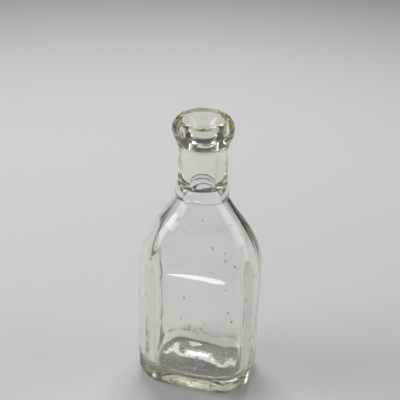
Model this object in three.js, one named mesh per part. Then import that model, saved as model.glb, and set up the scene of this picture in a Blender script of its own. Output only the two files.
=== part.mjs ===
// A clear glass medicine bottle: a panelled body blown in a mould, and a thick lip laid on by hand.
//
// Millimetres, +Z up. The origin lies on the resting plane, under the middle of the base. The broad
// panels face -Y (front) and +Y (back), and the narrow ones face -X and +X.
//
// The bottle is two pieces of glass. The first gather is blown_bottle: base, body, shoulders, neck bead
// and neck, in one wall that is open at the top. The second is applied_lip, a ring that wraps the
// sheared end of the neck. The two are fused on the real bottle; here they keep JOINT_GAP between them.

import * as THREE from "three";
import { ParametricGeometry } from "three/addons/geometries/ParametricGeometry.js";

// Body, measured outside.
const BODY_WIDTH = 56.8;
const BODY_DEPTH = 40.6;
const CORNER_BEVEL = 9.4; // how far each upright corner is cut back along both sides, at 45 degrees
const CORNER_CRISPNESS = 24; // 2 would be an ellipse, and a high number a sharp bevelled box
const HEEL_RADIUS = 5.2; // where the sides turn under
const SHOULDER_START = 60; // height at which the narrow panels begin to lean in
const BROAD_BEND_START = 64; // height at which the broad panels begin to lean in
const BROAD_BEND = 20; // radius at the top of the broad panels, seen from the side
const NARROW_BEND = 43; // radius at the top of the narrow panels, seen from the front
const BEVEL_FADE = 1.6; // how late the bevels turn round on their way up the shoulders

// Base.
const BASE_THICKNESS = 5.5;
const PUSH_UP_DEPTH = 0.8; // the middle of the base stands clear, so the bottle rests on a flat ring
const PUSH_UP_REACH = 0.62; // share of the base that is pushed up
const INSIDE_HEEL_RADIUS = 8; // the bubble that was blown leaves a bowl, not a corner

// Glass wall.
const BODY_WALL = 2.6;
const INSIDE_CRISPNESS = 7; // the inside corners are rounder than the mould's
const BORE_RADIUS = 5.7; // the neck's inside, straight from the lip down to the bead
const BORE_FLARE = 2.6; // how late the bore opens out on its way down to the shoulders

// Neck and its bead.
const NECK_FOOT = 97.5; // height at which the shoulders meet the bead
const NECK_FOOT_RADIUS = 11.5;
const BEAD_RADIUS = 12.3;
const BEAD_TOP = 104.8;
const NECK_RADIUS_LOW = 11.3; // just above the bead
const NECK_RADIUS_HIGH = 10.5; // just under the lip
const NECK_END = 127.4; // the sheared end, hidden in the lip
const NECK_END_EDGE = 0.8; // how far the sheared end is eased off

// Lip.
const HEIGHT = 136.1;
const LIP_RADIUS = 13.7;
const LIP_WIDEST = 131.1; // height of the widest ring
const LIP_UNDERSIDE = 124.4; // height at which the lip meets the neck
const CROWN_RADIUS = 9.8; // radius of the highest ring
const THROAT_RADIUS = 5.6; // the narrowest part of the mouth
const THROAT_TOP = 130.2;
const THROAT_BOTTOM = 128.2;
const UNDERSIDE_SWELL = 1.85; // a swell of 1 is a straight slope, and 2 an elliptic quarter
const CROWN_SWELL = 1.6;
const FUNNEL_SWELL = 1.4;
const JOINT_GAP = 0.35; // clearance to the neck that it wraps

// How finely the curves are cut.
const SIDES = 48;
const BEND_STEPS = 4;
const SHOULDER_STEPS = 9;

const HALF_WIDTH = BODY_WIDTH / 2;
const HALF_DEPTH = BODY_DEPTH / 2;
const BEVEL_LINE = HALF_WIDTH + HALF_DEPTH - CORNER_BEVEL; // x + y all along a bevel

const { lerp } = THREE.MathUtils;

/** A level cut through the wall. roundness goes from 0, the body's panels, to 1, a circle or ellipse. */
function ring(height, halfWidth, halfDepth, roundness, crispness = CORNER_CRISPNESS) {
  return { height, halfWidth, halfDepth, roundness, crispness };
}

/** A round ring of the neck. */
function hoop(height, radius) {
  return ring(height, radius, radius, 1);
}

/** How far the panelled outline lies from the middle, in a direction on a body of half-sizes 1 and 1. */
function panelReach(cosine, sine, crispness) {
  const bevel = (HALF_WIDTH * cosine + HALF_DEPTH * sine) / BEVEL_LINE;
  return (cosine ** crispness + sine ** crispness + bevel ** crispness) ** (-1 / crispness);
}

/** Puts the point of a ring at a share of a turn into target. */
function pointOnRing({ height, halfWidth, halfDepth, roundness, crispness }, turn, target) {
  const cosine = Math.cos(2 * Math.PI * turn);
  const sine = Math.sin(2 * Math.PI * turn);
  const reach = lerp(panelReach(Math.abs(cosine), Math.abs(sine), crispness), 1, roundness);
  target.set(halfWidth * reach * cosine, halfDepth * reach * sine, height);
}

/**
 * The half-size of a shoulder at a height: an arc of the bend radius that leaves the panel upright and
 * runs into a straight slope, which ends at the neck's foot.
 */
function shoulderHalfSize(height, panelHalfSize, bendRadius, bendStart) {
  const aside = bendRadius - (panelHalfSize - NECK_FOOT_RADIUS); // from the arc's centre to the foot
  const above = NECK_FOOT - bendStart;
  const lean = Math.atan2(above, aside) - Math.acos(bendRadius / Math.hypot(aside, above));
  const climbed = Math.max(height - bendStart, 0);
  if (climbed < bendRadius * Math.sin(lean)) {
    return panelHalfSize - bendRadius + Math.sqrt(bendRadius ** 2 - climbed ** 2);
  }
  return NECK_FOOT_RADIUS + (NECK_FOOT - height) * Math.tan(lean);
}

/** The shoulder's rings, upwards, with the wall's thickness taken off all round. */
function shoulderRings(wall, crispness) {
  const rings = [];
  for (let step = 0; step <= SHOULDER_STEPS; step += 1) {
    const climb = step / SHOULDER_STEPS;
    const height = lerp(SHOULDER_START, NECK_FOOT, climb);
    const halfWidth = shoulderHalfSize(height, HALF_WIDTH, NARROW_BEND, SHOULDER_START) - wall;
    const halfDepth = shoulderHalfSize(height, HALF_DEPTH, BROAD_BEND, BROAD_BEND_START) - wall;
    rings.push(ring(height, halfWidth, halfDepth, climb ** BEVEL_FADE, crispness));
  }
  return rings;
}

/** The rings of a heel, from level out to upright, on a body that is inset by a wall. */
function heelRings(floorHeight, radius, wall, crispness) {
  const rings = [];
  for (let step = 0; step <= BEND_STEPS; step += 1) {
    const angle = (Math.PI / 2) * (step / BEND_STEPS);
    const inset = wall + radius * (1 - Math.sin(angle));
    const height = floorHeight + radius * (1 - Math.cos(angle));
    rings.push(ring(height, HALF_WIDTH - inset, HALF_DEPTH - inset, 0, crispness));
  }
  return rings;
}

/** The bead that stands out round the foot of the neck. */
function beadRings() {
  const rings = [];
  const middle = (NECK_FOOT + BEAD_TOP) / 2;
  for (let step = 1; step < 2 * BEND_STEPS; step += 1) {
    const angle = Math.PI * (step / (2 * BEND_STEPS));
    const foot = lerp(NECK_FOOT_RADIUS, NECK_RADIUS_LOW, step / (2 * BEND_STEPS));
    const swell = (BEAD_RADIUS - (NECK_FOOT_RADIUS + NECK_RADIUS_LOW) / 2) * Math.sin(angle);
    rings.push(hoop(middle - (middle - NECK_FOOT) * Math.cos(angle), foot + swell));
  }
  return rings;
}

/** The rings by which the bore opens out behind the bead, downwards. */
function flareRings() {
  const rings = [];
  for (let step = BEND_STEPS; step > 0; step -= 1) {
    const share = step / BEND_STEPS;
    const radius = lerp(NECK_FOOT_RADIUS - BODY_WALL, BORE_RADIUS, share ** BORE_FLARE);
    rings.push(hoop(lerp(NECK_FOOT, BEAD_TOP, share), radius));
  }
  return rings;
}

/** Every ring of the blown wall: out along the base, up the outside, over the end and down inside. */
function bottleRings() {
  const baseHalfWidth = HALF_WIDTH - HEEL_RADIUS;
  const baseHalfDepth = HALF_DEPTH - HEEL_RADIUS;
  const pushUpWidth = baseHalfWidth * PUSH_UP_REACH;
  const pushUpDepth = baseHalfDepth * PUSH_UP_REACH;
  const outside = [
    ring(PUSH_UP_DEPTH, 0, 0, 0),
    ring(PUSH_UP_DEPTH, pushUpWidth / 2, pushUpDepth / 2, 0),
    ring(0, pushUpWidth, pushUpDepth, 0),
    ...heelRings(0, HEEL_RADIUS, 0, CORNER_CRISPNESS),
    ...shoulderRings(0, CORNER_CRISPNESS),
    ...beadRings(),
    hoop(BEAD_TOP, NECK_RADIUS_LOW),
    hoop(NECK_END - NECK_END_EDGE, NECK_RADIUS_HIGH),
    hoop(NECK_END, NECK_RADIUS_HIGH - NECK_END_EDGE),
  ];
  const inside = [
    hoop(NECK_END, BORE_RADIUS + NECK_END_EDGE),
    hoop(NECK_END - NECK_END_EDGE, BORE_RADIUS),
    ...flareRings(),
    ...shoulderRings(BODY_WALL, INSIDE_CRISPNESS).reverse(),
    ...heelRings(BASE_THICKNESS, INSIDE_HEEL_RADIUS, BODY_WALL, INSIDE_CRISPNESS).reverse(),
    ring(BASE_THICKNESS, 0, 0, 0),
  ];
  return [...outside, ...inside];
}

/** The blown wall as one closed surface, with turn running round it and course along its section. */
function bottleGeometry() {
  const rings = bottleRings();
  const courses = rings.length - 1;
  const surface = (turn, course, target) => {
    pointOnRing(rings[Math.round(course * courses)], turn, target);
  };
  return new ParametricGeometry(surface, SIDES, courses);
}

/** A superellipse quarter that leaves one profile point upright and comes level at the other. */
function quarterCurve(from, to, swell, steps) {
  const points = [];
  for (let step = 0; step <= steps; step += 1) {
    const angle = (Math.PI / 2) * (step / steps);
    const radius = lerp(to.x, from.x, Math.cos(angle) ** (2 / swell));
    const height = lerp(from.y, to.y, Math.sin(angle) ** (2 / swell));
    points.push(new THREE.Vector2(radius, height));
  }
  return points;
}

/** The lip as a ring turned about the neck's axis, with the throat as its inner wall. */
function lipGeometry() {
  const wrapRadius = NECK_RADIUS_HIGH + JOINT_GAP;
  const seatHeight = NECK_END + JOINT_GAP;
  const widest = new THREE.Vector2(LIP_RADIUS, LIP_WIDEST);
  const crown = new THREE.Vector2(CROWN_RADIUS, HEIGHT);
  const foot = new THREE.Vector2(wrapRadius, LIP_UNDERSIDE);
  const throat = new THREE.Vector2(THROAT_RADIUS, THROAT_TOP);
  const underside = quarterCurve(widest, foot, UNDERSIDE_SWELL, BEND_STEPS).reverse();
  const outside = quarterCurve(widest, crown, CROWN_SWELL, 2 * BEND_STEPS).slice(1);
  const funnel = quarterCurve(throat, crown, FUNNEL_SWELL, BEND_STEPS).reverse().slice(1);
  const inside = [
    new THREE.Vector2(THROAT_RADIUS, THROAT_BOTTOM),
    new THREE.Vector2(BORE_RADIUS, seatHeight),
    new THREE.Vector2(wrapRadius, seatHeight),
  ];
  const profile = [...underside, ...outside, ...funnel, ...inside, underside[0].clone()];
  return new THREE.LatheGeometry(profile, SIDES);
}

/** A finish of clear glass in a faint straw green. */
function glass(colour) {
  return new THREE.MeshStandardMaterial({ color: colour, roughness: 0.03, metalness: 0 });
}

const blownBottle = new THREE.Mesh(bottleGeometry(), glass("#dfe6d8"));
blownBottle.name = "blown_bottle";

const appliedLip = new THREE.Mesh(lipGeometry(), glass("#d3dcbb"));
appliedLip.name = "applied_lip";
appliedLip.rotation.x = Math.PI / 2; // a lathe turns about Y, and the neck stands along Z

const medicineBottle = new THREE.Group();
medicineBottle.name = "medicine_bottle";
medicineBottle.add(blownBottle, appliedLip);

export default medicineBottle;
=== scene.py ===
"""A clear glass medicine bottle, standing open on a pale studio floor.

The bottle is two pieces of glass. The blown wall is the first gather, shaped in a mould: base, panelled
body, shoulders, the bead at the neck's foot, and the neck. The lip is the second gather, laid round the
sheared end of the neck and tooled by hand. The two are fused, so nothing shows where they meet.

Sizes are in millimetres until a mesh is made, and a mesh is in metres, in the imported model's frame.
"""

import logging
import math
from dataclasses import dataclass, field
from enum import Enum

import bmesh
import bpy
import numpy as np
from mathutils import Matrix, Vector, noise


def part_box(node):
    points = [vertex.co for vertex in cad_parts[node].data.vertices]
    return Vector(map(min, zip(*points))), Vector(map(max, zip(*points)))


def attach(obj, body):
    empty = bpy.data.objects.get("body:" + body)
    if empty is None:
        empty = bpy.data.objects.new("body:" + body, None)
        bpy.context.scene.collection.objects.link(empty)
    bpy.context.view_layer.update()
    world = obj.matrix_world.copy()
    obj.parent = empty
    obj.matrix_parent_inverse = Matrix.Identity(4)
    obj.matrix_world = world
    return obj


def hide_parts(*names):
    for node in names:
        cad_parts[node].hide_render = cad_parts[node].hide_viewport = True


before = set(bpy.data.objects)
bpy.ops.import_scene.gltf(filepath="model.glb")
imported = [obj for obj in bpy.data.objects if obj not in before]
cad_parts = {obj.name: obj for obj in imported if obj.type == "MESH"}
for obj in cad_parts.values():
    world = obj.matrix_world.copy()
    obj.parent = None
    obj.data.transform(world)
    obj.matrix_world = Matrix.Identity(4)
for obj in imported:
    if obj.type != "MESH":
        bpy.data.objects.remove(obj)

MM = 0.001
FUSED = "fused_joint"
BOX_MARGIN = 0.01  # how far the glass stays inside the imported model's sides
COLLAR_DROP = 1.6  # how much lower the lip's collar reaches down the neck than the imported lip
TILT_ROOM = 0.65  # height left above the lip's crown for its tilt

log = logging.getLogger("medicine_bottle")


def linear(hex_colour: str) -> tuple[float, float, float, float]:
    """Turns an sRGB hex colour into Blender's linear colour.

    Args:
        hex_colour: Six hex digits after a hash.

    Returns:
        Red, green, blue and an alpha of 1.
    """
    channels = [int(hex_colour[i : i + 2], 16) / 255 for i in (1, 3, 5)]
    light = [c / 12.92 if c <= 0.04045 else ((c + 0.055) / 1.055) ** 2.4 for c in channels]
    return (light[0], light[1], light[2], 1.0)


def add_node(tree: bpy.types.NodeTree, kind: str, settings: dict, **links: object) -> bpy.types.Node:
    """Adds one node, fills its sockets and joins it to others.

    Args:
        tree: The node tree that gets the node.
        kind: The node's type name.
        settings: Attributes to set, and under "inputs" a value for each named or numbered socket.
        **links: Input name, with underscores for spaces, to the output socket that feeds it.

    Returns:
        The new node.
    """
    node = tree.nodes.new(kind)
    for name, value in settings.items():
        if name != "inputs":
            setattr(node, name, value)
    for name, value in settings.get("inputs", {}).items():
        node.inputs[name].default_value = value
    for name, source in links.items():
        tree.links.new(source, node.inputs[name.replace("_", " ")])
    return node


def smooth_step(value: float, low: float, high: float) -> float:
    """Goes from 0 at low to 1 at high, with no corner at either end."""
    share = min(max((value - low) / (high - low), 0.0), 1.0)
    return share * share * (3 - 2 * share)


def mix(start: float, end: float, share: float) -> float:
    """The value a share of the way from start to end."""
    return start + (end - start) * share


# ---------------------------------------------------------------------------------------- finishes


@dataclass(frozen=True)
class SodaLimeGlass:
    """Blown soda-lime glass, fire-polished, with iron in the sand.

    The iron takes blue out of what passes through, so a thin wall looks clear, and the lip and the base
    look straw. Lengths are in millimetres.
    """

    name: str
    ior: float = 1.52
    roughness: float = 0.0
    depth_tint: str = "#F2EEBF"
    tint_per_metre: float = 14.0
    scuffed_roughness: float = 0.32
    scuff_size: float = 1.6
    scuffed_below: float = 5.0
    scuffed_all_through: float = 0.5
    skin_size: float = 5.0
    skin_depth: float = 0.025

    def scuffs(self, tree: bpy.types.NodeTree, place: bpy.types.NodeSocket) -> bpy.types.NodeSocket:
        """Roughens the heel and the resting ring, where years of shelves have worn the polish.

        Args:
            tree: The material's node tree.
            place: Where a point is on the piece, in metres.

        Returns:
            The roughness.
        """
        height = add_node(tree, "ShaderNodeSeparateXYZ", {}, Vector=place).outputs["Z"]
        reach = {"From Min": self.scuffed_below * MM, "From Max": self.scuffed_all_through * MM}
        low = add_node(
            tree,
            "ShaderNodeMapRange",
            {"interpolation_type": "SMOOTHSTEP", "inputs": reach},
            Value=height,
        )
        patches = add_node(
            tree,
            "ShaderNodeTexNoise",
            {"inputs": {"Scale": 1 / (self.scuff_size * MM), "Detail": 4.0, "Roughness": 0.65}},
            Vector=place,
        )
        worn = add_node(
            tree,
            "ShaderNodeMapRange",
            {"inputs": {"From Min": 0.38, "From Max": 0.62}},
            Value=patches.outputs["Fac"],
        )
        share = add_node(tree, "ShaderNodeMath", {"operation": "MULTIPLY"})
        tree.links.new(low.outputs["Result"], share.inputs[0])
        tree.links.new(worn.outputs["Result"], share.inputs[1])
        roughness = add_node(
            tree,
            "ShaderNodeMapRange",
            {"inputs": {"To Min": self.roughness, "To Max": self.scuffed_roughness}},
            Value=share.outputs["Value"],
        )
        return roughness.outputs["Result"]

    def mould_skin(self, tree: bpy.types.NodeTree, place: bpy.types.NodeSocket) -> bpy.types.NodeSocket:
        """Waves the surface a little, as the chilled skin of mould-blown glass does.

        Args:
            tree: The material's node tree.
            place: Where a point is on the piece, in metres.

        Returns:
            The bent normal.
        """
        waves = add_node(
            tree,
            "ShaderNodeTexNoise",
            {"inputs": {"Scale": 1 / (self.skin_size * MM), "Detail": 1.5, "Roughness": 0.45}},
            Vector=place,
        )
        skin = add_node(
            tree,
            "ShaderNodeBump",
            {"inputs": {"Strength": 1.0, "Distance": self.skin_depth * MM}},
            Height=waves.outputs["Fac"],
        )
        return skin.outputs["Normal"]

    def material(self) -> bpy.types.Material:
        """Makes the glass.

        Faces marked as fused have air's IOR on both sides, so light crosses the joint without bending.

        Returns:
            The material, with its tint as an absorption inside.
        """
        made = bpy.data.materials.new(self.name)
        made.use_nodes = True
        tree = made.node_tree
        tree.nodes.clear()
        place = add_node(tree, "ShaderNodeTexCoord", {}).outputs["Object"]
        joint = add_node(tree, "ShaderNodeAttribute", {"attribute_name": FUSED})
        ior = add_node(
            tree,
            "ShaderNodeMapRange",
            {"inputs": {"To Min": self.ior, "To Max": 1.0}},
            Value=joint.outputs["Fac"],
        )
        surface = add_node(
            tree,
            "ShaderNodeBsdfPrincipled",
            {
                "inputs": {
                    "Base Color": (1.0, 1.0, 1.0, 1.0),
                    "Roughness": self.roughness,
                    "IOR": self.ior,
                    "Transmission Weight": 1.0,
                }
            },
            IOR=ior.outputs["Result"],
            Roughness=self.scuffs(tree, place),
            Normal=self.mould_skin(tree, place),
        )
        body = add_node(
            tree,
            "ShaderNodeVolumeAbsorption",
            {"inputs": {"Color": linear(self.depth_tint), "Density": self.tint_per_metre}},
        )
        add_node(
            tree,
            "ShaderNodeOutputMaterial",
            {},
            Surface=surface.outputs["BSDF"],
            Volume=body.outputs["Volume"],
        )
        return made


@dataclass(frozen=True)
class StudioPaper:
    """Seamless backdrop paper: matt and pale, so that the glass is what catches the eye."""

    name: str = "backdrop_paper"
    colour: str = "#C9C9C6"
    roughness: float = 0.9

    def material(self) -> bpy.types.Material:
        """Makes the plain paper.

        Returns:
            The material.
        """
        made = bpy.data.materials.new(self.name)
        made.use_nodes = True
        surface = made.node_tree.nodes["Principled BSDF"]
        surface.inputs["Base Color"].default_value = linear(self.colour)
        surface.inputs["Roughness"].default_value = self.roughness
        return made


# ------------------------------------------------------------------------------------------ meshes


@dataclass(frozen=True)
class Level:
    """One level cut through the glass. Roundness goes from 0, the panelled body, to 1, a circle."""

    height: float
    half_width: float
    half_depth: float
    roundness: float = 1.0
    crispness: float = 24.0


def hoop(height: float, radius: float) -> Level:
    """A round level of the neck."""
    return Level(height, radius, radius)


class Wall(Enum):
    """The two faces of the blown wall."""

    OUTSIDE = "outside"
    INSIDE = "inside"


def glass_object(name: str, mesh: bpy.types.Mesh, material: bpy.types.Material) -> bpy.types.Object:
    """Puts a finished glass mesh in the scene, smooth but for its true corners.

    Args:
        name: The piece's name.
        mesh: A closed mesh in metres.
        material: The glass.

    Returns:
        The object, at the origin.
    """
    mesh.materials.append(material)
    mesh.polygons.foreach_set("use_smooth", [True] * len(mesh.polygons))
    mesh.set_sharp_from_angle(angle=math.radians(55))
    made = bpy.data.objects.new(name, mesh)
    bpy.context.scene.collection.objects.link(made)
    return made


def face_outwards(mesh: bpy.types.Mesh) -> None:
    """Turns a closed mesh's faces out if its volume comes out negative.

    Args:
        mesh: The mesh, changed in place.
    """
    work = bmesh.new()
    work.from_mesh(mesh)
    if work.calc_volume(signed=True) < 0:
        bmesh.ops.reverse_faces(work, faces=work.faces)
    work.to_mesh(mesh)
    work.free()


def ripple(point: Vector, wavelength: float, salt: float) -> float:
    """A smooth random wave from about -1 to 1 at a point, whose crests lie a wavelength apart."""
    return noise.noise(point / wavelength + Vector((salt, 2 * salt, 3 * salt)))


@dataclass
class MouldOutline:
    """The body's plan: four flat panels with bevelled upright corners."""

    half_width: float
    half_depth: float
    bevel: float = 9.4

    def reach(self, turns: np.ndarray, crispness: float) -> np.ndarray:
        """How far the outline lies from the middle, on a body of half-sizes 1 and 1.

        Args:
            turns: Directions, in shares of a full turn.
            crispness: 2 is an ellipse, and a high number a sharp bevelled box.

        Returns:
            One distance for each direction.
        """
        across = np.abs(np.cos(math.tau * turns))
        along = np.abs(np.sin(math.tau * turns))
        line = self.half_width + self.half_depth - self.bevel
        cut = (self.half_width * across + self.half_depth * along) / line
        return (across**crispness + along**crispness + cut**crispness) ** (-1 / crispness)

    def ring(self, level: Level, turns: np.ndarray) -> np.ndarray:
        """The points of one level.

        Args:
            level: The level cut.
            turns: Directions, in shares of a full turn.

        Returns:
            Rows of x, y and z in millimetres.
        """
        reach = mix(self.reach(turns, level.crispness), 1.0, level.roundness)
        across = level.half_width * reach * np.cos(math.tau * turns)
        along = level.half_depth * reach * np.sin(math.tau * turns)
        return np.stack([across, along, np.full_like(across, level.height)], axis=1)


@dataclass
class BlownBottle:
    """The first gather: one wall of glass from the base to the neck's sheared end."""

    half_width: float
    half_depth: float
    neck_end: float
    lip_foot: float
    sides: int = 256
    fused_rows: int = 4
    heel_radius: float = 5.2
    push_up: float = 0.8
    push_up_reach: float = 0.72
    shoulder_start: float = 60.0
    broad_bend_start: float = 64.0
    broad_bend: float = 20.0
    narrow_bend: float = 43.0
    bevel_fade: float = 1.6
    neck_foot: float = 97.5
    neck_foot_radius: float = 11.5
    bead_radius: float = 12.3
    bead_top: float = 104.8
    bead_peak: float = 0.44
    bead_fade: float = 1.7
    neck_radius_low: float = 11.3
    neck_radius_high: float = 10.5
    body_wall: float = 2.6
    base_thickness: float = 5.5
    inside_heel_radius: float = 7.0
    rear_rise: float = 3.5
    inside_crispness: float = 7.0
    bore_radius: float = 5.9
    bore_foot: float = 104.8
    flare: float = 4.0
    front_lift: float = 1.8
    slump_top: float = 30.0
    outside_ripple: float = 0.10
    inside_ripple: float = 0.38
    draw_waves: float = 0.10
    outline: MouldOutline = field(init=False)

    def __post_init__(self) -> None:
        """Makes the plan from the body's sizes."""
        self.outline = MouldOutline(self.half_width, self.half_depth)

    def neck_radius(self, height: float) -> float:
        """The neck's outside radius at a height above the bead."""
        share = (height - self.bead_top) / (self.neck_end - self.bead_top)
        return mix(self.neck_radius_low, self.neck_radius_high, share)

    def shoulder_half_size(self, height: float, panel: float, bend: float, start: float) -> float:
        """A shoulder's half-size: an arc that leaves the panel upright, then a straight slope.

        Args:
            height: Height above the base.
            panel: Half-size of the body below.
            bend: Radius of the arc.
            start: Height at which the arc begins.

        Returns:
            The half-size, which ends at the neck's foot.
        """
        aside = bend - (panel - self.neck_foot_radius)
        above = self.neck_foot - start
        lean = math.atan2(above, aside) - math.acos(bend / math.hypot(aside, above))
        climbed = max(height - start, 0.0)
        if climbed < bend * math.sin(lean):
            return panel - bend + math.sqrt(bend**2 - climbed**2)
        return self.neck_foot_radius + (self.neck_foot - height) * math.tan(lean)

    def shoulder(self, height: float, wall: float, crispness: float = Level.crispness) -> Level:
        """The shoulder's level at a height, where the panels give way to the round neck.

        Args:
            height: Height above the base.
            wall: Thickness of glass taken off all round.
            crispness: How sharp the panels' corners are.

        Returns:
            The level.
        """
        climb = (height - self.shoulder_start) / (self.neck_foot - self.shoulder_start)
        return Level(
            height,
            self.shoulder_half_size(height, self.half_width, self.narrow_bend, self.shoulder_start) - wall,
            self.shoulder_half_size(height, self.half_depth, self.broad_bend, self.broad_bend_start) - wall,
            min(climb, 1.0) ** self.bevel_fade,
            crispness,
        )

    def outside_levels(self) -> list[Level]:
        """The outside, from near the middle of the base to the neck's sheared end.

        Returns:
            Its levels in order. The last ones lie under the lip.
        """
        levels = []
        base_width = self.half_width - self.heel_radius
        base_depth = self.half_depth - self.heel_radius
        for share in np.linspace(0.04, 1.0, 24)[:-1]:
            rise = self.push_up * (1 - smooth_step(share, 0.25, self.push_up_reach))
            levels.append(Level(rise, base_width * share, base_depth * share, 0.0))
        for angle in np.linspace(0, math.pi / 2, 14):
            inset = self.heel_radius * (1 - math.sin(angle))
            rise = self.heel_radius * (1 - math.cos(angle))
            levels.append(Level(rise, self.half_width - inset, self.half_depth - inset, 0.0))
        for height in np.linspace(self.heel_radius, self.shoulder_start, 48)[1:-1]:
            levels.append(Level(height, self.half_width, self.half_depth, 0.0))
        for height in np.linspace(self.shoulder_start, self.neck_foot, 56):
            levels.append(self.shoulder(height, 0.0))
        levels += self.bead_levels()
        for height in np.linspace(self.bead_top, self.lip_foot, 26):
            levels.append(hoop(height, self.neck_radius(height)))
        for height in np.linspace(self.lip_foot, self.neck_end, self.fused_rows + 1)[1:]:
            levels.append(hoop(height, self.neck_radius(height)))
        return levels

    def bead_levels(self) -> list[Level]:
        """The bead that the mould left round the foot of the neck.

        Returns:
            Its levels, upwards. The bead is fullest low down and fades into the neck.
        """
        levels = []
        peak = mix(self.neck_foot, self.bead_top, self.bead_peak)
        swell = self.bead_radius - (self.neck_foot_radius + self.neck_radius_low) / 2
        for angle in np.linspace(0, math.pi, 24)[1:-1]:
            above = angle > math.pi / 2
            half = self.bead_top - peak if above else peak - self.neck_foot
            height = peak - half * math.cos(angle)
            share = (height - self.neck_foot) / (self.bead_top - self.neck_foot)
            bulge = swell * math.sin(angle) ** (self.bead_fade if above else 1.0)
            levels.append(hoop(height, mix(self.neck_foot_radius, self.neck_radius_low, share) + bulge))
        return levels

    def inside_levels(self) -> list[Level]:
        """The inside, from the neck's sheared end down to near the middle of the floor.

        Returns:
            Its levels in order.
        """
        levels = [hoop(h, self.bore_radius) for h in np.linspace(self.neck_end, self.bore_foot, 22)]
        for height in np.linspace(self.bore_foot, self.shoulder_start, 70)[1:]:
            levels.append(self.inside_shoulder(height))
        top_of_heel = self.base_thickness + self.inside_heel_radius
        for height in np.linspace(self.shoulder_start, top_of_heel, 44)[1:]:
            levels.append(self.inset_level(height, self.body_wall))
        for angle in np.linspace(math.pi / 2, 0, 16)[1:]:
            inset = self.body_wall + self.inside_heel_radius * (1 - math.sin(angle))
            height = self.base_thickness + self.inside_heel_radius * (1 - math.cos(angle))
            levels.append(self.inset_level(height, inset))
        floor = levels[-1]
        for share in np.linspace(1, 0.04, 20)[1:]:
            levels.append(
                Level(
                    floor.height,
                    floor.half_width * share,
                    floor.half_depth * share,
                    0.0,
                    self.inside_crispness,
                )
            )
        return levels

    def inset_level(self, height: float, inset: float) -> Level:
        """A level of the inside of the body."""
        return Level(
            height, self.half_width - inset, self.half_depth - inset, 0.0, self.inside_crispness
        )

    def inside_shoulder(self, height: float) -> Level:
        """The inside of the shoulder, and the flare by which it draws in to the bore.

        Args:
            height: Height above the base, up to the foot of the bore.

        Returns:
            The level.
        """
        level = self.shoulder(min(height, self.neck_foot), self.body_wall, self.inside_crispness)
        share = max(height - self.neck_foot, 0.0) / (self.bore_foot - self.neck_foot)
        return Level(
            height,
            mix(level.half_width, self.bore_radius, share**self.flare),
            mix(level.half_depth, self.bore_radius, share**self.flare),
            level.roundness,
            self.inside_crispness,
        )

    def slump(self, height: float) -> float:
        """How much of the glass that settled behind the floor is left at a height of the inside."""
        return 1 - smooth_step(height, self.base_thickness, self.slump_top)

    def outside_shift(self, place: Vector) -> float:
        """How far the outside moves at a point: only ever inwards, and less than its ripple."""
        wave = 0.6 * ripple(place, 17.0, 3.1) + 0.4 * ripple(place, 8.0, 7.7)
        return -self.outside_ripple * (0.5 + 0.5 * wave)

    def inside_shift(self, place: Vector) -> float:
        """How far the inside moves at a point: broad waves, and fine ones drawn out sideways."""
        wave = 0.7 * ripple(place, 24.0, 1.3) + 0.2 * ripple(place, 11.0, 5.9)
        draw = ripple(Vector((place.x / 4, place.y / 4, place.z)), 7.0, 2.2)
        return self.inside_ripple * wave + self.draw_waves * draw

    def rippled(self, ring: np.ndarray, wall: Wall) -> np.ndarray:
        """Moves a ring's points by the wall's unevenness, which fades out under the lip.

        Args:
            ring: Points in millimetres.
            wall: Which face of the wall they are on.

        Returns:
            The moved points.
        """
        height = ring[0][2]
        fade = 1 - smooth_step(height, self.lip_foot - 6, self.lip_foot - 1)
        raised = 0.0
        if wall is Wall.OUTSIDE:
            fade *= smooth_step(height, 0.5, 8.0)
            raised = 1 - smooth_step(abs(height - self.neck_foot), 0.0, 6.5)
        moved = ring.copy()
        for point in moved:
            facing = point[1] / max(math.hypot(point[0], point[1]), 1.0)
            point[2] += self.front_lift * raised * facing**2
            place = Vector(point)
            if wall is Wall.OUTSIDE:
                shift = self.outside_shift(place) * fade
            else:
                point[2] += self.rear_rise * smooth_step(point[1], -5.0, 20.0) * self.slump(height)
                shift = self.inside_shift(place) * fade
            across = Vector((point[0], point[1], 0.0))
            if across.length > 1.0:
                point[:2] += np.array(across.normalized())[:2] * shift
        return moved

    def mesh(self) -> bpy.types.Mesh:
        """Makes the closed wall.

        Returns:
            The mesh in metres, with the faces that are fused to the lip marked.
        """
        turns = np.arange(self.sides) / self.sides
        outside = [self.rippled(self.outline.ring(l, turns), Wall.OUTSIDE) for l in self.outside_levels()]
        inside = [self.rippled(self.outline.ring(l, turns), Wall.INSIDE) for l in self.inside_levels()]
        rings = outside + inside
        first = np.array([[0.0, 0.0, self.push_up]])
        last = np.array([[0.0, 0.0, self.base_thickness]])
        points = np.concatenate([first, *rings, last]) * MM
        faces = []
        count = self.sides
        for row in range(len(rings) - 1):
            low, high = 1 + row * count, 1 + (row + 1) * count
            for side in range(count):
                other = (side + 1) % count
                faces.append((low + side, low + other, high + other, high + side))
        end = len(points) - 1
        for side in range(count):
            other = (side + 1) % count
            faces.append((0, 1 + other, 1 + side))
            faces.append((end, end - count + side, end - count + other))
        made = bpy.data.meshes.new("blown_bottle_glass")
        made.from_pydata(points.tolist(), [], faces)
        face_outwards(made)
        fused = made.attributes.new(FUSED, "FLOAT", "FACE")
        first_fused = len(outside) - self.fused_rows - 1
        marks = np.zeros(len(made.polygons), np.float32)
        marks[first_fused * count : len(outside) * count] = 1.0
        fused.data.foreach_set("value", marks)
        return made


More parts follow.
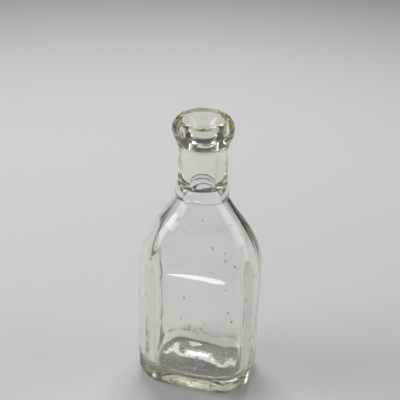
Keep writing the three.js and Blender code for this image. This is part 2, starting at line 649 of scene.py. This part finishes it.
@dataclass
class SeedBubbles:
    """Seeds: small bubbles of gas that stayed in the melt, a little drawn out up the wall."""

    bottle: BlownBottle
    per_square_metre: float = 9000.0
    smallest: float = 0.16
    largest: float = 0.52
    stretch: float = 1.35
    seed: int = 7
    sides: int = 64
    lowest: float = 14.0
    highest: float = 94.0
    low_drift: tuple[float, float] = (46.0, 14.0)
    high_drift: tuple[float, float] = (78.0, 9.0)
    stray_share: float = 0.12

    def middle_of_the_wall(self) -> bpy.types.Mesh:
        """The surface halfway through the wall, with a share of seeds for each point.

        Returns:
            An open mesh in metres, with the float attribute "seediness".
        """
        turns = np.arange(self.sides) / self.sides
        half = self.bottle.body_wall / 2
        rings = []
        for height in np.linspace(self.lowest, self.bottle.shoulder_start - 2, 12):
            rings.append(self.bottle.outline.ring(self.bottle.inset_level(height, half), turns))
        for height in np.linspace(self.bottle.shoulder_start, self.highest, 12):
            rings.append(self.bottle.outline.ring(self.bottle.shoulder(height, half, 16.0), turns))
        points = np.concatenate(rings)
        faces = []
        for row in range(len(rings) - 1):
            for side in range(self.sides):
                other = (side + 1) % self.sides
                low, high = row * self.sides, (row + 1) * self.sides
                faces.append((low + side, low + other, high + other, high + side))
        made = bpy.data.meshes.new("middle_of_the_wall")
        made.from_pydata((points * MM).tolist(), [], faces)
        shares = made.attributes.new("seediness", "FLOAT", "POINT")
        drift = np.zeros(len(points))
        for middle, spread in (self.low_drift, self.high_drift):
            drift += np.exp(-(((points[:, 2] - middle) / spread) ** 2))
        in_front = points[:, 1] < -6
        shares.data.foreach_set("value", (self.stray_share + drift * in_front).astype(np.float32))
        return made

    def tree(self, glass: bpy.types.Material) -> bpy.types.NodeTree:
        """Scatters the bubbles.

        Args:
            glass: The wall's glass.

        Returns:
            A node tree that turns the middle of the wall into bubbles whose faces point inwards.
        """
        tree = bpy.data.node_groups.new("seed_bubbles", "GeometryNodeTree")
        face = tree.interface
        face.new_socket("Geometry", in_out="INPUT", socket_type="NodeSocketGeometry")
        for name in ("Seeds per square metre", "Smallest radius", "Largest radius", "Stretch"):
            face.new_socket(name, in_out="INPUT", socket_type="NodeSocketFloat")
        face.new_socket("Seed", in_out="INPUT", socket_type="NodeSocketInt")
        face.new_socket("Geometry", in_out="OUTPUT", socket_type="NodeSocketGeometry")
        given = add_node(tree, "NodeGroupInput", {}).outputs
        share = add_node(
            tree, "GeometryNodeInputNamedAttribute", {"inputs": {"Name": "seediness"}}
        )
        density = add_node(tree, "ShaderNodeMath", {"operation": "MULTIPLY"})
        tree.links.new(given["Seeds per square metre"], density.inputs[0])
        tree.links.new(share.outputs["Attribute"], density.inputs[1])
        spots = add_node(
            tree,
            "GeometryNodeDistributePointsOnFaces",
            {},
            Mesh=given["Geometry"],
            Density=density.outputs[0],
            Seed=given["Seed"],
        )
        radius = add_node(tree, "FunctionNodeRandomValue", {"data_type": "FLOAT"})
        tree.links.new(given["Smallest radius"], radius.inputs[2])
        tree.links.new(given["Largest radius"], radius.inputs[3])
        tree.links.new(given["Seed"], radius.inputs["Seed"])
        tall = add_node(tree, "ShaderNodeMath", {"operation": "MULTIPLY"})
        tree.links.new(radius.outputs[1], tall.inputs[0])
        tree.links.new(given["Stretch"], tall.inputs[1])
        size = add_node(
            tree,
            "ShaderNodeCombineXYZ",
            {},
            X=radius.outputs[1],
            Y=radius.outputs[1],
            Z=tall.outputs[0],
        )
        ball = add_node(
            tree, "GeometryNodeMeshIcoSphere", {"inputs": {"Radius": 1.0, "Subdivisions": 2}}
        )
        placed = add_node(
            tree,
            "GeometryNodeInstanceOnPoints",
            {},
            Points=spots.outputs["Points"],
            Instance=ball.outputs["Mesh"],
            Scale=size.outputs["Vector"],
        )
        real = add_node(
            tree, "GeometryNodeRealizeInstances", {}, Geometry=placed.outputs["Instances"]
        )
        hollow = add_node(tree, "GeometryNodeFlipFaces", {}, Mesh=real.outputs["Geometry"])
        dressed = add_node(
            tree,
            "GeometryNodeSetMaterial",
            {"inputs": {"Material": glass}},
            Geometry=hollow.outputs["Mesh"],
        )
        add_node(tree, "NodeGroupOutput", {}, Geometry=dressed.outputs["Geometry"])
        return tree

    def mesh(self, glass: bpy.types.Material) -> bpy.types.Mesh:
        """Makes every bubble.

        Args:
            glass: The wall's glass.

        Returns:
            One plain mesh in metres.
        """
        holder = bpy.data.objects.new("seed_bubbles", self.middle_of_the_wall())
        bpy.context.scene.collection.objects.link(holder)
        scatter = holder.modifiers.new("seed_bubbles", "NODES")
        scatter.node_group = self.tree(glass)
        wanted = {
            "Seeds per square metre": self.per_square_metre,
            "Smallest radius": self.smallest * MM,
            "Largest radius": self.largest * MM,
            "Stretch": self.stretch,
            "Seed": self.seed,
        }
        for item in scatter.node_group.interface.items_tree:
            if item.name in wanted:
                scatter[item.identifier] = wanted[item.name]
        graph = bpy.context.evaluated_depsgraph_get()
        made = bpy.data.meshes.new_from_object(holder.evaluated_get(graph))
        bpy.data.objects.remove(holder)
        return made


def join_voids(wall: bpy.types.Mesh, voids: bpy.types.Mesh) -> None:
    """Adds the bubbles to the wall's mesh, as hollows in the glass.

    Args:
        wall: The wall, with its fused faces marked.
        voids: The bubbles, whose faces point inwards.
    """
    work = bmesh.new()
    work.from_mesh(wall)
    fused = work.faces.layers.float[FUSED]
    walled = len(work.faces)
    work.from_mesh(voids)
    work.faces.ensure_lookup_table()
    for face in work.faces[walled:]:
        face[fused] = 0.0
        face.material_index = 0
    work.to_mesh(wall)
    work.free()


@dataclass
class AppliedLip:
    """The second gather: a thick ring that wraps the neck's end and narrows to the throat."""

    radius: float
    top: float
    foot: float
    bottle: BlownBottle
    sides: int = 224
    widest: float = 131.0
    underside: float = 124.4
    collar_radius: float = 11.3
    crown_radius: float = 10.4
    throat_radius: float = 5.2
    throat_top: float = 130.2
    throat_bottom: float = 128.4
    joint_gap: float = 0.02
    underside_swell: float = 1.9
    crown_swell: float = 1.6
    funnel_swell: float = 1.15
    slip: float = -0.28
    tilt: float = 3.0

    @property
    def seat(self) -> float:
        """Height at which the ring sits on the neck's end."""
        return self.bottle.neck_end + self.joint_gap

    @staticmethod
    def quarter(
        start: tuple[float, float], end: tuple[float, float], swell: float, steps: int
    ) -> list[tuple[float, float]]:
        """A superellipse quarter that leaves start upright and comes level at end.

        Args:
            start: Radius and height of the upright end.
            end: Radius and height of the level end.
            swell: 1 is a straight slope, and 2 an elliptic quarter.
            steps: How many pieces to cut it into.

        Returns:
            Points of radius and height, start and end included.
        """
        points = []
        for angle in np.linspace(0, math.pi / 2, steps + 1):
            radius = mix(end[0], start[0], max(math.cos(angle), 0.0) ** (2 / swell))
            height = mix(start[1], end[1], math.sin(angle) ** (2 / swell))
            points.append((radius, height))
        return points

    def profile(self) -> tuple[list[tuple[float, float]], int]:
        """The ring's section, from its foot over the lip and down the throat to the joint.

        Returns:
            Points of radius and height, and how many of the last ones lie on the joint.
        """
        seat = self.seat
        foot = (self.bottle.neck_radius(self.foot) + self.joint_gap, self.foot)
        widest = (self.radius, self.widest)
        crown = (self.crown_radius, self.top)
        throat = (self.throat_radius, self.throat_top)
        belly = (self.collar_radius - 0.9, self.underside)
        outside = []
        for angle in np.linspace(-math.pi / 2, math.pi / 3, 9):
            swell = self.collar_radius - foot[0]
            outside.append((foot[0] + swell * math.cos(angle), foot[1] + 0.6 * (1 + math.sin(angle))))
        for radius, height in self.quarter(widest, belly, self.underside_swell, 34)[::-1]:
            if radius > self.collar_radius:
                outside.append((radius, height))
        outside += self.quarter(widest, crown, self.crown_swell, 40)[1:]
        outside += self.quarter(throat, crown, self.funnel_swell, 26)[::-1][1:]
        for height in np.linspace(self.throat_top, self.throat_bottom, 6)[1:]:
            outside.append((self.throat_radius, height))
        outside.append((self.bottle.bore_radius, seat))
        joint = [(mix(self.bottle.bore_radius, self.bottle.neck_radius_high, s), seat) for s in (0.5,)]
        joint.append((self.bottle.neck_radius_high + self.joint_gap, seat))
        for height in np.linspace(self.bottle.neck_end, self.foot, 5)[1:-1]:
            joint.append((self.bottle.neck_radius(height) + self.joint_gap, height))
        return outside + joint, len(joint)

    def mesh(self) -> bpy.types.Mesh:
        """Makes the closed ring, tilted and slipped a little, as a hand-tooled one is.

        Returns:
            The mesh in metres, with the faces that are fused to the neck marked.
        """
        profile, joint_points = self.profile()
        turns = math.tau * np.arange(self.sides) / self.sides
        points = []
        for row, (radius, height) in enumerate(profile):
            free = smooth_step(height, self.seat, self.widest) if row < len(profile) - joint_points else 0.0
            across = radius * np.cos(turns) + self.slip * free
            along = radius * np.sin(turns)
            raised = height + math.tan(math.radians(self.tilt)) * free * along
            points.append(np.column_stack([across, along, raised]))
        faces = []
        for row in range(len(profile)):
            low, high = row * self.sides, ((row + 1) % len(profile)) * self.sides
            for side in range(self.sides):
                other = (side + 1) % self.sides
                faces.append((low + side, low + other, high + other, high + side))
        made = bpy.data.meshes.new("applied_lip_glass")
        made.from_pydata((np.concatenate(points) * MM).tolist(), [], faces)
        face_outwards(made)
        fused = made.attributes.new(FUSED, "FLOAT", "FACE")
        marks = np.zeros(len(made.polygons), np.float32)
        marks[-(joint_points + 1) * self.sides :] = 1.0
        fused.data.foreach_set("value", marks)
        return made


# ------------------------------------------------------------------------------------------ studio


@dataclass(frozen=True)
class Softbox:
    """One soft rectangular light, in millimetres and watts. The camera sees only what it lights."""

    name: str
    place: tuple[float, float, float]
    target: tuple[float, float, float]
    size: tuple[float, float]
    power: float

    def hang(self) -> bpy.types.Object:
        """Hangs the light and turns it to its target.

        Returns:
            The light.
        """
        lamp = bpy.data.lights.new(self.name, "AREA")
        lamp.shape = "RECTANGLE"
        lamp.size, lamp.size_y = self.size[0] * MM, self.size[1] * MM
        lamp.energy = self.power
        made = bpy.data.objects.new(self.name, lamp)
        made.location = Vector(self.place) * MM
        aim = Vector(self.target) - Vector(self.place)
        made.rotation_euler = aim.to_track_quat("-Z", "Y").to_euler()
        made.visible_camera = False
        bpy.context.scene.collection.objects.link(made)
        return made


TOP = Softbox("top_softbox", (-150, 500, 800), (0, 0, 60), (700, 90), 6.2)
LEFT = Softbox("left_softbox", (-700, -250, 450), (0, 0, 70), (500, 600), 3.4)
RIGHT = Softbox("right_softbox", (650, 150, 350), (0, 0, 70), (450, 600), 1.3)
CATCHLIGHT = Softbox("catchlight", (-4, -110, 39), (0, 0, 63), (65, 24), 0.0315)


@dataclass
class Studio:
    """The floor, the lights and the camera."""

    paper: StudioPaper = StudioPaper()
    floor_half_size: float = 3000.0
    floor_level: float = -0.02
    room_colour: str = "#515253"
    catchlight_roll: float = 9.0
    camera_place: tuple[float, float, float] = (73.68, -298.36, 256.91)
    azimuth: float = 14.04
    pitch: float = 27.7
    roll: float = -1.5
    sensor: float = 36.0
    lens: float = 68.96

    def floor(self) -> bpy.types.Object:
        """Lays the plain pale floor.

        Returns:
            The floor.
        """
        half = self.floor_half_size
        corners = [(-half, -half), (half, -half), (half, half), (-half, half)]
        mesh = bpy.data.meshes.new("studio_floor")
        points = [(x * MM, y * MM, self.floor_level * MM) for x, y in corners]
        mesh.from_pydata(points, [], [(0, 1, 2, 3)])
        mesh.materials.append(self.paper.material())
        made = bpy.data.objects.new("studio_floor", mesh)
        bpy.context.scene.collection.objects.link(made)
        return made

    def lights(self) -> None:
        """Hangs the lights and sets the room's even grey.

        The catchlight is an ellipse that only the outside of the glass reflects, so it draws one clean
        lens along the bend of the shoulder.
        """
        for softbox in (TOP, LEFT, RIGHT):
            softbox.hang()
        catchlight = CATCHLIGHT.hang()
        catchlight.data.shape = "ELLIPSE"
        catchlight.rotation_euler.rotate_axis("Z", math.radians(self.catchlight_roll))
        catchlight.visible_transmission = False
        world = bpy.data.worlds.new("studio_room")
        world.use_nodes = True
        world.node_tree.nodes["Background"].inputs["Color"].default_value = linear(self.room_colour)
        world.node_tree.nodes["Background"].inputs["Strength"].default_value = 1.0
        bpy.context.scene.world = world

    def camera(self) -> bpy.types.Object:
        """Sets up the camera, which looks down at the bottle from in front and a little right.

        Returns:
            The camera.
        """
        lens = bpy.data.cameras.new("camera")
        lens.sensor_width = self.sensor
        lens.lens = self.lens
        lens.clip_start = 10 * MM
        azimuth, pitch, roll = (math.radians(a) for a in (self.azimuth, self.pitch, self.roll))
        back = Vector(
            (
                math.sin(azimuth) * math.cos(pitch),
                -math.cos(azimuth) * math.cos(pitch),
                math.sin(pitch),
            )
        )
        level = Vector((math.cos(azimuth), math.sin(azimuth), 0.0))
        upright = back.cross(level)
        across = level * math.cos(roll) - upright * math.sin(roll)
        above = level * math.sin(roll) + upright * math.cos(roll)
        made = bpy.data.objects.new("camera", lens)
        made.matrix_world = Matrix.Translation(Vector(self.camera_place) * MM) @ Matrix(
            (
                (across.x, above.x, back.x, 0),
                (across.y, above.y, back.y, 0),
                (across.z, above.z, back.z, 0),
                (0, 0, 0, 1),
            )
        )
        bpy.context.scene.collection.objects.link(made)
        bpy.context.scene.camera = made
        return made

    def light_paths(self) -> None:
        """Lets light go through every wall of the glass, with a plain view transform."""
        scene = bpy.context.scene
        scene.cycles.max_bounces = 32
        scene.cycles.transmission_bounces = 32
        scene.cycles.glossy_bounces = 16
        scene.cycles.transparent_max_bounces = 16
        scene.view_settings.view_transform = "Standard"


def main() -> None:
    """Builds the bottle and its studio, in order."""
    logging.basicConfig(level=logging.INFO, format="%(name)s: %(message)s")
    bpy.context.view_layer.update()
    _, wall_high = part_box("blown_bottle")
    lip_low, lip_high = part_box("applied_lip")
    lip_foot = lip_low.z / MM - COLLAR_DROP
    glass = SodaLimeGlass("soda_lime_glass").material()
    lip_glass = SodaLimeGlass("thick_soda_lime_glass", tint_per_metre=21.0).material()

    bottle = BlownBottle(
        half_width=wall_high.x / MM - BOX_MARGIN,
        half_depth=wall_high.y / MM - BOX_MARGIN,
        neck_end=wall_high.z / MM,
        lip_foot=lip_foot,
    )
    blown = bottle.mesh()
    seeds = SeedBubbles(bottle).mesh(glass)
    join_voids(blown, seeds)
    wall = glass_object("blown_bottle_glass", blown, glass)
    log.info("seed bubbles: %d faces", len(seeds.polygons))
    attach(wall, "root")
    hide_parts("blown_bottle")
    log.info("blown bottle: %d faces", len(wall.data.polygons))

    ring = AppliedLip(
        radius=lip_high.x / MM - BOX_MARGIN,
        top=lip_high.z / MM - TILT_ROOM,
        foot=lip_foot,
        bottle=bottle,
    )
    lip = glass_object("applied_lip_glass", ring.mesh(), lip_glass)
    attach(lip, "root")
    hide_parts("applied_lip")
    log.info("applied lip: %d faces", len(lip.data.polygons))

    studio = Studio()
    studio.floor()
    studio.lights()
    studio.camera()
    studio.light_paths()


if __name__ == "__main__":
    main()
